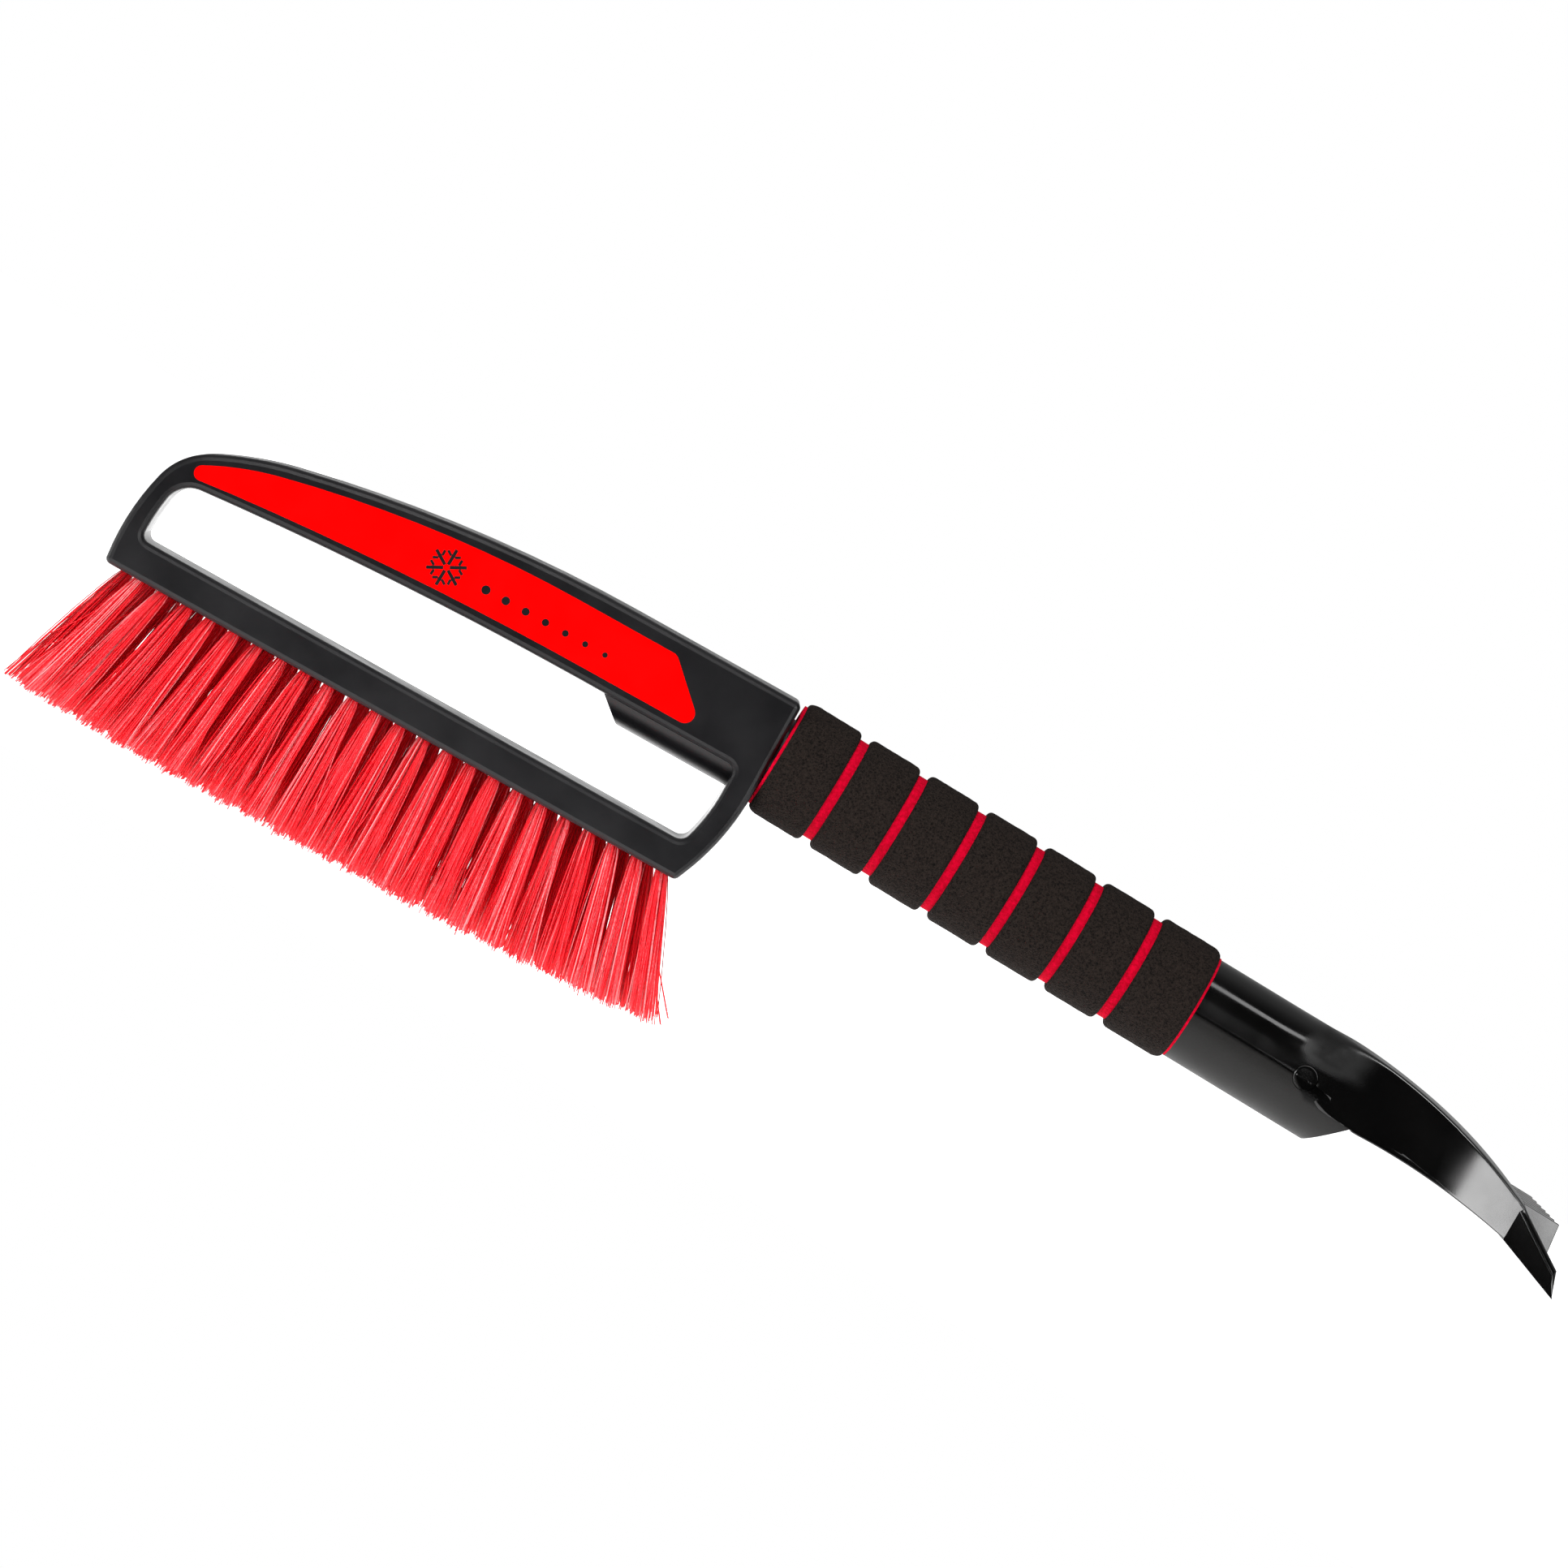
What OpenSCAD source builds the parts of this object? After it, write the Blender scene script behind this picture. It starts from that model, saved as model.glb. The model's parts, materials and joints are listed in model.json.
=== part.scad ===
// Windshield snow brush with ice scraper.
// Millimetres. X runs along the grip axis from brush to scraper, Z is up, the bristles point down,
// and XZ is the mirror plane. Each sub-part is drawn about the grip axis and moved to the row origin.

/* [Grip] */
// Outside diameter of the black foam rings
grip_d = 40; // [34:0.5:44]
// Diameter of the red foam layer seen in the grooves
core_d = 36; // [30:0.5:40]
// Number of black foam rings
ring_count = 7; // [4:1:9]
// Distance from one ring to the next
ring_pitch = 22; // [18:0.5:26]
// Length of each middle ring
ring_len = 18.7; // [15:0.1:21]
// Extra length of the ring beside the head
first_ring_extra = 1; // [0:0.1:4]
// Extra length of the ring beside the scraper
last_ring_extra = 2.8; // [0:0.1:5]
// Rounding of the ring edges
ring_round = 1.6; // [0.5:0.1:1.9]
// Red layer left showing beside the head
collar_head = 0.9; // [0.3:0.1:3]
// Red layer left showing beside the scraper
collar_scraper = 0.8; // [0.3:0.1:3]

/* [Tube] */
// Outside diameter of the handle tube
tube_d = 25; // [20:0.5:30]
// Wall of the handle tube
tube_wall = 1.2; // [0.8:0.1:2.5]
// Half length of the handle tube
tube_half = 128; // [110:1:130]

/* [Head] */
// Thickness of the head
head_t = 32; // [26:1:40]
// Upward tilt of the head against the grip axis
head_tilt = 2.1; // [0:0.1:5]
// Rounding of the head edges
head_round = 2; // [0.5:0.1:2]
// Height of the head top above the grip axis
head_top = 18.2; // [17:0.1:22]
// Depth of the rail underside below the grip axis
rail_bottom = 50.35; // [45:0.1:55]
// Depth of the hand window's lower edge
window_bottom = 38.5; // [34:0.1:42]
// Depth of the hand window's upper edge
window_top = 9.4; // [7:0.1:12]
// Radius of the tube boss in the window
boss_r = 15.9; // [14.5:0.1:16]
// Depth of the boss underside
boss_bottom = 16.85; // [16:0.1:18]

/* [Label] */
// Depth of the label pocket in the head side
pocket_depth = 0.9; // [0.5:0.1:1.5]
// Thickness of the label plate
label_t = 0.7; // [0.3:0.1:1.2]

/* [Bristles] */
// Tufts in each row
tufts = 23; // [10:1:30]
// Distance between tufts of one row
tuft_pitch = 8.62; // [6:0.01:12]
// Distance between rows
row_gap = 9; // [6:0.5:10]
// Diameter of a tuft hole
tuft_d = 4.2; // [3:0.1:5]
// Depth of a tuft hole
tuft_depth = 8; // [5:0.5:9]
// Tuft diameter at the tips
tip_d = 7.2; // [5:0.1:8]
// Free length of the bristles at mid rail
bristle_len = 48.6; // [35:0.1:60]
// Diameter of the wire that anchors each tuft
wire_d = 0.9; // [0.5:0.1:1.2]

/* [Scraper] */
// Outside diameter of the scraper socket
socket_d = 35.6; // [32:0.1:38]
// Width of the scraper blade
blade_w = 105; // [90:1:120]
// Number of ice-breaker fins
fins = 7; // [3:1:9]
// Distance between fins
fin_pitch = 13.8; // [8:0.1:15]
// Thickness of a fin at its crest
fin_t = 2.4; // [1.5:0.1:4]
// Diameter of the cross pin
pin_d = 8; // [5:0.5:10]
// Position of the cross pin along the grip axis
pin_x = 117.8; // [100:0.1:122]

/* [Hidden] */
$fn = 64;
// Middle of the grip axis in the row frame, whose origin is the bottom centre of the whole part.
row_x = 42.794;
row_z = 106.864;

rings_span = (ring_count - 1) * ring_pitch + ring_len;
first_x = -rings_span / 2 - 2.05;
grip_start = first_x - first_ring_extra - collar_head;
grip_end = first_x + rings_span + last_ring_extra + collar_scraper;
head_x = grip_start - 0.7;
half_t = head_t / 2;
half_w = blade_w / 2;
socket_r = socket_d / 2;
u_front = -203.8;
u_middle = -208.5;
u_mid_rail = -111.3;
half_rail = 97.5;
socket_drop = 0.2;
fin_draft = tan(5);
blade_x = 194.5;
bevel_x = 204;

black = [0.07, 0.07, 0.08];
foam = [0.10, 0.09, 0.08];
red = [0.85, 0.05, 0.08];
steel = [0.70, 0.70, 0.72];

// Points of an arc about [cx, cz], from angle a to angle b in n steps.
function arc(cx, cz, r, a, b, n) =
    [for (i = [0:n]) let (t = a + (b - a) * i / n) [cx + r * cos(t), cz + r * sin(t)]];

// Centre of an arc of radius r that touches the inside of arc [c, big] at angle a.
function inner_centre(c, big, r, a) = c + (big - r) * [cos(a), sin(a)];

// Head outline in the head's own plane, drawn inwards by "inset". It runs anticlockwise from the
// foot of the strut, up its bowed outer edge, along the spine and round the nose.
function head_outline(inset) =
    let (
        strut = [-79.4, -15],
        spine = [-60, head_top - 540],
        brow = inner_centre(spine, 540, 112, 102.62),
        nose = inner_centre(brow, 112, 22, 116.5),
        cheek = inner_centre(nose, 22, 80, 165),
        foot_z = 2 - rail_bottom,
        toe = [strut[0] + sqrt(pow(77.4, 2) - pow(foot_z - strut[1], 2)), foot_z],
        heel = [cheek[0] - sqrt(pow(78, 2) - pow(foot_z - cheek[1], 2)), foot_z],
        toe_a = atan2(toe[1] - strut[1], toe[0] - strut[0]),
        heel_a = 360 + atan2(heel[1] - cheek[1], heel[0] - cheek[0])
    )
    concat(
        arc(toe[0], toe[1], 2.05 - inset, -90, toe_a, 5),
        arc(strut[0], strut[1], 79.4 - inset, toe_a + 2, 0, 10),
        arc(-2.05, head_top - 2.05, 2.05 - inset, 0, 90, 6),
        arc(spine[0], spine[1], 540 - inset, 90, 102.62, 9),
        arc(brow[0], brow[1], 112 - inset, 104, 116.5, 7),
        arc(nose[0], nose[1], 22 - inset, 119, 165, 14),
        arc(cheek[0], cheek[1], 80 - inset, 168, heel_a, 6),
        arc(heel[0], heel[1], 2.05 - inset, heel_a + 10, 270, 5)
    );

// Hand window outline, grown outwards by "grow".
function window_outline(grow) =
    let (
        brow = [-65, -window_top - 1433],
        nose = inner_centre(brow, 1433, 9, 95.446),
        cheek = inner_centre(nose, 9, 70, 170),
        strut = [-66.9, -19],
        heel = [cheek[0] - sqrt(pow(67.2, 2) - pow(cheek[1] + window_bottom - 2.8, 2)),
                2.8 - window_bottom],
        toe = [strut[0] + sqrt(pow(54, 2) - pow(strut[1] + window_bottom - 4, 2)),
               4 - window_bottom],
        toe_a = atan2(toe[1] - strut[1], toe[0] - strut[0])
    )
    concat(
        arc(toe[0], toe[1], 4 + grow, -90, toe_a, 7),
        arc(strut[0], strut[1], 58 + grow, toe_a + 2, 0, 6),
        arc(-11.9, -window_top - 3, 3 + grow, 0, 90, 6),
        arc(brow[0], brow[1], 1433 + grow, 90, 95.446, 10),
        arc(nose[0], nose[1], 9 + grow, 102, 170, 10),
        arc(cheek[0], cheek[1], 70 + grow, 173, 180.6, 4),
        arc(heel[0], heel[1], 2.8 + grow, 190, 270, 6)
    );

// Label outline: a long blade shape that follows the spine, with a slanted right end.
function label_outline() =
    let (
        spine = [-78, 12.75 - 437],
        brow = inner_centre(spine, 437, 102, 103.6),
        tip = inner_centre(brow, 102, 2.5, 117.9)
    )
    concat(
        arc(-31.6, -2.25, 3.3, -90, 44.2, 10),
        arc(-43.9, 9.75, 3, 44.2, 90, 5),
        arc(spine[0], spine[1], 437, 90, 103.6, 9),
        arc(brow[0], brow[1], 102, 105.5, 117.9, 6),
        arc(tip[0], tip[1], 2.5, 130, 276.2, 10),
        arc(-65, -5.55 - 1275, 1275, 95.7, 90, 9)
    );

// Puts children drawn in the head's own frame onto the grip axis.
module head_place() {
    translate([head_x, 0, 0]) rotate([0, -head_tilt, 0]) children();
}

// Moves children from the grip axis to the row origin.
module row_place() {
    translate([row_x, 0, row_z]) children();
}

// A round bar along X.
module bar_x(r, x0, x1) {
    translate([x0, 0, 0]) rotate([0, 90, 0]) cylinder(r = r, h = x1 - x0);
}

// A round bar along Y, centred on the mirror plane.
module bar_y(r, len, x, z) {
    translate([x, 0, z]) rotate([90, 0, 0]) cylinder(r = r, h = len, center = true);
}

// Extrudes an XZ outline along Y, from y0 to y1.
module slab(points, y0, y1) {
    translate([0, y1, 0]) rotate([90, 0, 0]) linear_extrude(y1 - y0) polygon(points);
}

function centre(ring) = [for (k = [0:2]) let (v = [for (p = ring) p[k]]) (max(v) + min(v)) / 2];

// A closed solid through equal-length convex rings of points, capped about the ring centres.
module skin(rings) {
    n = len(rings[0]);
    last = len(rings) - 1;
    start = len(rings) * n;
    points = concat([for (ring = rings) for (p = ring) p], [centre(rings[0]), centre(rings[last])]);
    sides = [
        for (k = [0:last - 1]) for (i = [0:n - 1])
            let (j = (i + 1) % n, a = k * n, b = (k + 1) * n)
            each [[a + i, a + j, b + j], [a + i, b + j, b + i]]
    ];
    caps = [
        for (i = [0:n - 1])
            let (j = (i + 1) % n, b = last * n)
            each [[start, j, i], [start + 1, b + i, b + j]]
    ];
    polyhedron(points = points, faces = concat(sides, caps), convexity = 6);
}

function ring_at(points, y) = [for (p = points) [p[0], y, p[1]]];

// The head plate with rounded edges all round its outline.
module head_plate() {
    r = head_round;
    inner = half_t - r;
    skin([
        for (a = [90, 60, 30, 0]) ring_at(head_outline(r * (1 - cos(a))), -inner - r * sin(a)),
        for (a = [0, 30, 60, 90]) ring_at(head_outline(r * (1 - cos(a))), inner + r * sin(a))
    ]);
}

// The hand window, flared so that its edges come out rounded.
module hand_window() {
    r = head_round;
    inner = half_t - r;
    skin([
        ring_at(window_outline(2 * r), -half_t - 0.27 * r),
        for (a = [60, 30, 0]) ring_at(window_outline(r * (1 - cos(a))), -inner - r * sin(a)),
        for (a = [0, 30, 60]) ring_at(window_outline(r * (1 - cos(a))), inner + r * sin(a)),
        ring_at(window_outline(2 * r), half_t + 0.27 * r)
    ]);
}

// The round boss that carries the tube through the window, with a slanted inner end.
module boss() {
    intersection() {
        translate([0, 0, boss_r - boss_bottom]) bar_x(boss_r, -60, -7);
        slab([[-7, 4], [-60, 4], [-60, -6.9], [-48.7, -boss_bottom - 0.1], [-7, -boss_bottom - 0.1]],
             -half_t, half_t);
    }
}

// Lean of a tuft along the rail and length of its bristles, as functions of its place.
function rail_place(u) = (u - u_mid_rail) / half_rail;
function tip_shift(u) = let (t = rail_place(u)) 10 * t + 1.2 * pow(t, 2) + 5 * pow(t, 3);
function tip_reach(u) = bristle_len - 1.5 * rail_place(u);

// Draws children at each tuft hole mouth of a row, in the head's own frame.
module each_tuft(u_first, y) {
    for (i = [0:tufts - 1]) {
        $tuft_u = u_first + i * tuft_pitch;
        translate([$tuft_u, y, -rail_bottom]) children();
    }
}

module tuft_holes(u_first, y) {
    each_tuft(u_first, y) translate([0, 0, -1]) cylinder(d = tuft_d, h = tuft_depth + 1);
}

module anchor_wire(gap) {
    translate([0, 0, tuft_depth - 1]) rotate([90, 0, 0]) cylinder(d = wire_d, h = gap, center = true);
}

// One bundle of bristles: the folded root in its hole and the splayed part below it.
module tuft(splay) {
    reach = tip_reach($tuft_u);
    lean = asin(tip_shift($tuft_u) / reach);
    difference() {
        cylinder(d = tuft_d, h = tuft_depth);
        anchor_wire(tuft_d + 1);
    }
    translate([0, 0, 0.6]) rotate([splay, -lean, 0]) rotate([180, 0, 0])
        cylinder(d1 = tuft_d - 0.8, d2 = tip_d, h = reach);
}

module bristle_row(u_first, y, splay) {
    color(red) head_place() each_tuft(u_first, y) tuft(splay);
}

module anchor_row(u_first, y) {
    color(steel) head_place() each_tuft(u_first, y) anchor_wire(tuft_d - 0.2);
}

module head_frame() {
    color(black) difference() {
        head_place() difference() {
            union() {
                difference() {
                    head_plate();
                    hand_window();
                }
                boss();
            }
            slab(label_outline(), -half_t - 1, -half_t + pocket_depth);
            slab(label_outline(), half_t - pocket_depth, half_t + 1);
            tuft_holes(u_front, -row_gap);
            tuft_holes(u_middle, 0);
            tuft_holes(u_front, row_gap);
        }
        bar_x(tube_d / 2, -tube_half, head_x + 5);
    }
}

// side is -1 for the front label and 1 for the rear one.
module label(side) {
    floor_y = half_t - pocket_depth;
    y = side * (floor_y + label_t / 2);
    color(red) head_place() slab(label_outline(), y - label_t / 2, y + label_t / 2);
}

module handle_tube() {
    color(steel) difference() {
        bar_x(tube_d / 2, -tube_half, tube_half);
        bar_x(tube_d / 2 - tube_wall, -tube_half - 1, tube_half + 1);
        bar_y(pin_d / 2, tube_d + 2, pin_x, 0);
    }
}

module grip_core() {
    color(red) difference() {
        bar_x(core_d / 2, grip_start, grip_end);
        bar_x(tube_d / 2, grip_start - 1, grip_end + 1);
    }
}

// Half profile of a foam ring, rounded at its two outer corners.
module ring_profile(len) {
    r = ring_round;
    inner = core_d / 2;
    outer = grip_d / 2;
    translate([inner, 0]) square([outer - r - inner, len]);
    translate([inner, r]) square([outer - inner, len - 2 * r]);
    translate([outer - r, r]) circle(r = r);
    translate([outer - r, len - r]) circle(r = r);
}

module foam_ring(index) {
    before = index == 1 ? first_ring_extra : 0;
    after = index == ring_count ? last_ring_extra : 0;
    x = first_x + (index - 1) * ring_pitch - before;
    color(foam) translate([x, 0, 0]) rotate([0, 90, 0])
        rotate_extrude() ring_profile(ring_len + before + after);
}

// Shape of the scraper fan along X: top line, bottom line, half width, crown and squareness.
// The last stretch, from blade_x to bevel_x, is the fan's root inside the blade.
function edge_line(x) = 2.25 - (x - blade_x) * 0.63;
function fan_crown(x) = x < blade_x ? 1.9 * pow(max(x - 130, 0) / (blade_x - 130), 1.3)
                                    : 1.9 * (bevel_x - x) / (bevel_x - blade_x);
function fan_top(x) = x < blade_x ? 17.7 - 0.7 * pow(max(x - 122, 0) / 20, 2.29)
                                  : edge_line(x) + fan_crown(x) - 0.2;
function fan_bottom(x) = x < blade_x ? -6.6 - 3.2 * pow((max(x, 141) - 157) / 37.5, 2)
                                     : -9 - (x - blade_x) * 0.3;
function fan_half(x) = x > blade_x ? half_w - 1
                     : min(17.7, 17.7 + 0.35 * (x - 124))
                       + 0.00694 * pow(max(min(x, 178) - 122, 0), 2) + 0.777 * max(x - 178, 0);
function fan_square(x) = 2.3 + 11 * pow(min(max(x - 118, 0) / 22, 1), 1.2);

function power(v, e) = sign(v) * pow(abs(v), e);

// Cross-section of the fan at x: a rounded box whose top and bottom arch towards the middle.
function fan_section(x, n) =
    let (
        mid = (fan_top(x) + fan_bottom(x) + fan_crown(x)) / 2,
        high = (fan_top(x) - fan_bottom(x) - fan_crown(x)) / 2,
        wide = fan_half(x),
        e = 2 / fan_square(x)
    )
    [for (i = [0:n - 1])
        let (
            a = -360 * i / n,
            y = wide * power(cos(a), e),
            z = high * power(sin(a), e)
        )
        [x, y, mid + z - fan_crown(x) * pow(y / wide, 2)]
    ];

module fan() {
    skin([for (x = [118, 124, 130, 136, 142, 148, 154, 160, 166, 172, 178, 184, 190, blade_x,
                    199, bevel_x]) fan_section(x, 48)]);
}

module blade() {
    slab([[193.5, -9.8], [216.4, -18], [213.3, -9.6], [blade_x, 2.25]], -half_w, half_w);
}

// An ice-breaker fin, thicker towards its root.
module fin(y) {
    outline = [[204, -6], [208.9, -6.9], [207.7, 3], [194.2, 3.1], [193.5, 0]];
    skin([for (side = [-1, 1]) [for (p = outline)
        [p[0], y + side * (fin_t / 2 + fin_draft * (3.1 - p[1])), p[1]]]]);
}

// The round socket, whose lower half ends in a slanted cut below the fan.
module socket() {
    intersection() {
        translate([0, 0, -socket_drop]) bar_x(socket_r, grip_end, 142);
        slab([[grip_end, -19], [128, -19], [128.1, -18.1], [138.7, -6.6], [132, -6], [132, 19],
              [grip_end, 19]], -19, 19);
    }
}

module scraper_body() {
    color(black) difference() {
        union() {
            socket();
            fan();
            blade();
            for (i = [0:fins - 1]) fin((i - (fins - 1) / 2) * fin_pitch);
        }
        bar_x(tube_d / 2, grip_end - 1, tube_half);
        bar_y(pin_d / 2, socket_d + 2, pin_x, 0);
    }
}

module scraper_pin() {
    color(black) intersection() {
        bar_y(pin_d / 2, socket_d, pin_x, 0);
        translate([0, 0, -socket_drop]) bar_x(socket_r, pin_x - pin_d, pin_x + pin_d);
    }
}

row_place() head_frame();
row_place() label(-1);  // label_front
row_place() label(1);  // label_rear
row_place() bristle_row(u_front, -row_gap, -4);  // bristles_front
row_place() bristle_row(u_middle, 0, 0);  // bristles_middle
row_place() bristle_row(u_front, row_gap, 4);  // bristles_rear
row_place() anchor_row(u_front, -row_gap);  // anchors_front
row_place() anchor_row(u_middle, 0);  // anchors_middle
row_place() anchor_row(u_front, row_gap);  // anchors_rear
row_place() handle_tube();
row_place() grip_core();
row_place() foam_ring(1);  // foam_ring_1
row_place() foam_ring(2);  // foam_ring_2
row_place() foam_ring(3);  // foam_ring_3
row_place() foam_ring(4);  // foam_ring_4
row_place() foam_ring(5);  // foam_ring_5
row_place() foam_ring(6);  // foam_ring_6
row_place() foam_ring(7);  // foam_ring_7
row_place() scraper_body();
row_place() scraper_pin();
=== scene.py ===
"""Looks of a windshield snow brush with ice scraper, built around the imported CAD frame.

The row frame is in metres: X runs along the grip from the brush to the scraper, Z is up and the bristles
point down. Shapes below are measured in millimetres from the middle of the grip axis.
"""

import json
import math

import bpy
import numpy as np
from mathutils import Matrix, Vector, noise


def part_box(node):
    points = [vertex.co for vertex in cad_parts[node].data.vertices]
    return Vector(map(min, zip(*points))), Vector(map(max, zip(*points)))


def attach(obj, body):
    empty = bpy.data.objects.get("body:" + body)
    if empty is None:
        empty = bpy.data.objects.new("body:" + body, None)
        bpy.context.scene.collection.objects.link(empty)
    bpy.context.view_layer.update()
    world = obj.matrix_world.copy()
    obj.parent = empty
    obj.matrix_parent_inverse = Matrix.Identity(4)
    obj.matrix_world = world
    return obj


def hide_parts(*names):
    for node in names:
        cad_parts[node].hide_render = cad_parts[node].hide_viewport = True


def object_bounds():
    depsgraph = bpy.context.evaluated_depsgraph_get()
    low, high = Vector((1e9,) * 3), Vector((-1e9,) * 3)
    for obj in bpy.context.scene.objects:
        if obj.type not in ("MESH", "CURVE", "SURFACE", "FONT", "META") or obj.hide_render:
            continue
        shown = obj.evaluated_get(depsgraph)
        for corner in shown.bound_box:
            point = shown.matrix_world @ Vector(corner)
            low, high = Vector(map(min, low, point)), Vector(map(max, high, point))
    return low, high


MM = 0.001
GRIP_START = -79.3  # end of the red foam beside the head, from the middle of the grip

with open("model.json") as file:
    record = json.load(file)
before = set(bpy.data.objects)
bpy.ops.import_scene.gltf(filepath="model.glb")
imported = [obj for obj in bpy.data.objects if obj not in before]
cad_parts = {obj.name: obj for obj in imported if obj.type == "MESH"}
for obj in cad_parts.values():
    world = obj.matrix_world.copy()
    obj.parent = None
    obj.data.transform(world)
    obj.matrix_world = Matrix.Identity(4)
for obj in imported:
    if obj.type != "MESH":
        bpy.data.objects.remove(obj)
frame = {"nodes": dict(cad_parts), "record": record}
cad_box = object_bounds()
core_low, core_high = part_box("grip_core")
AXIS = Vector((core_low.x - GRIP_START * MM, 0, (core_low.z + core_high.z) / 2))
CORE_R = (core_high.z - core_low.z) / 2 / MM


def at(x, y, z):
    """The row point at these millimetres from the middle of the grip axis."""
    return AXIS + Vector((x, y, z)) * MM


def along_axis(metres):
    """A row X in metres as millimetres from the middle of the grip."""
    return (metres - AXIS.x) / MM


# ---------------------------------------------------------------- materials


class Shader:
    """A Principled material with its node tree, built by short calls."""

    def __init__(self, name, **inputs):
        self.material = bpy.data.materials.new(name)
        self.material.use_nodes = True
        self.tree = self.material.node_tree
        self.bsdf = self.tree.nodes["Principled BSDF"]
        self.set(self.bsdf, inputs)
        self.coords = self.tree.nodes.new("ShaderNodeTexCoord").outputs["Object"]

    def plug(self, socket, value):
        """Links another node's output to the socket, or sets a plain value."""
        if isinstance(value, bpy.types.NodeSocket):
            self.tree.links.new(value, socket)
        else:
            socket.default_value = value

    def set(self, node, inputs):
        for key, value in inputs.items():
            self.plug(node.inputs[key.replace("_", " ")], value)

    def add(self, kind, settings=None, **inputs):
        node = self.tree.nodes.new(kind)
        for key, value in (settings or {}).items():
            setattr(node, key, value)
        self.set(node, inputs)
        return node

    def noise(self, scale, detail=2.0, stretch=None):
        where = self.coords
        if stretch:
            where = self.add("ShaderNodeMapping", Vector=self.coords, Scale=stretch).outputs["Vector"]
        node = self.add("ShaderNodeTexNoise", Vector=where, Scale=scale, Detail=detail)
        return node.outputs["Fac"]

    def pores(self, scale):
        node = self.add("ShaderNodeTexVoronoi", Vector=self.coords, Scale=scale)
        return node.outputs["Distance"]

    def remap(self, value, low, high, out_low, out_high):
        node = self.add("ShaderNodeMapRange", Value=value)
        limits = {"From Min": low, "From Max": high, "To Min": out_low, "To Max": out_high}
        for key, number in limits.items():
            node.inputs[key].default_value = number
        return node.outputs["Result"]

    def ramp(self, value, *stops):
        """Colour by value; each stop is (place, (r, g, b))."""
        node = self.add("ShaderNodeValToRGB", Fac=value)
        points = node.color_ramp.elements
        while len(points) < len(stops):
            points.new(0.5)
        for point, (place, colour) in zip(points, stops):
            point.position = place
            point.color = (*colour, 1)
        return node.outputs["Color"]

    def math(self, operation, a, b):
        node = self.add("ShaderNodeMath", {"operation": operation})
        for socket, value in zip(node.inputs, (a, b)):
            self.plug(socket, value)
        return node.outputs["Value"]

    def rise(self, axis, start, end):
        """A value that goes from 0 to 1 between two places on axis X or Z, in mm as for at()."""
        low, high = at(start, 0, start), at(end, 0, end)
        where = self.add("ShaderNodeSeparateXYZ", Vector=self.coords).outputs[axis]
        return self.remap(where, getattr(low, axis.lower()), getattr(high, axis.lower()), 0, 1)

    def bump(self, height, distance, strength=1.0):
        node = self.add("ShaderNodeBump", Height=height, Distance=distance, Strength=strength)
        self.set(self.bsdf, {"Normal": node.outputs["Normal"]})


def moulded_plastic(name, colour, roughness, grain, shine=0.5):
    """Black moulded plastic: fine spark-eroded grain, and slow changes of gloss."""
    s = Shader(name, Specular_IOR_Level=shine)
    cloudy = s.noise(60, 3)
    fine = s.noise(2600, 2)
    dark = tuple(0.8 * c for c in colour)
    s.set(s.bsdf, {"Base Color": s.ramp(cloudy, (0.3, dark), (0.7, colour))})
    s.set(s.bsdf, {"Roughness": s.remap(cloudy, 0.3, 0.7, roughness - 0.04, roughness + 0.05)})
    s.bump(fine, grain)
    return s.material


def scraper_gloss():
    """Polished black plastic that turns satin on the shoulder between socket and fan."""
    s = Shader("scraper_gloss", Specular_IOR_Level=0.45)
    cloudy = s.noise(60, 3)
    s.set(s.bsdf, {"Base Color": s.ramp(cloudy, (0.3, (0.0009, 0.0009, 0.0009)),
                                        (0.7, (0.0013, 0.0012, 0.0012)))})
    patch = s.math("MULTIPLY", s.rise("X", 111, 118), s.rise("X", 138, 124))
    patch = s.math("MULTIPLY", patch, s.math("MULTIPLY", s.rise("Z", 4, 8), s.rise("Z", 19, 15)))
    patch = s.math("MULTIPLY", patch, s.remap(s.noise(260, 3), 0.3, 0.7, 0.55, 0.75))
    s.set(s.bsdf, {"Roughness": s.math("ADD", patch, s.remap(cloudy, 0.3, 0.7, 0.08, 0.15)),
                   "Specular IOR Level": s.remap(patch, 0, 0.6, 0.45, 0.24)})
    s.bump(s.noise(2600, 2), 0.000004)
    return s.material


def socket_satin():
    """Satin black of the socket's lower half, polished like the fan where the shoulder begins."""
    s = Shader("socket_satin")
    cloudy = s.noise(60, 3)
    place = s.add("ShaderNodeSeparateXYZ", Vector=s.coords)
    start, end = at(114, 0, -0.5), at(121, 0, -5.8)
    border = s.remap(place.outputs["X"], start.x, end.x, start.z, end.z)
    above = s.math("SUBTRACT", place.outputs["Z"], border)
    satin = s.remap(above, -1.2 * MM, 0.4 * MM, 1, 0)
    s.set(s.bsdf, {
        "Base Color": s.ramp(satin, (0, (0.001, 0.001, 0.001)), (1, (0.0054, 0.005, 0.0046))),
        "Roughness": s.math("ADD", s.remap(satin, 0, 1, 0.08, 0.41), s.remap(cloudy, 0.3, 0.7, 0, 0.09)),
        "Specular IOR Level": s.remap(satin, 0, 1, 0.1, 0.24)})
    s.bump(s.noise(2600, 2), 0.00004)
    return s.material


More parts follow.
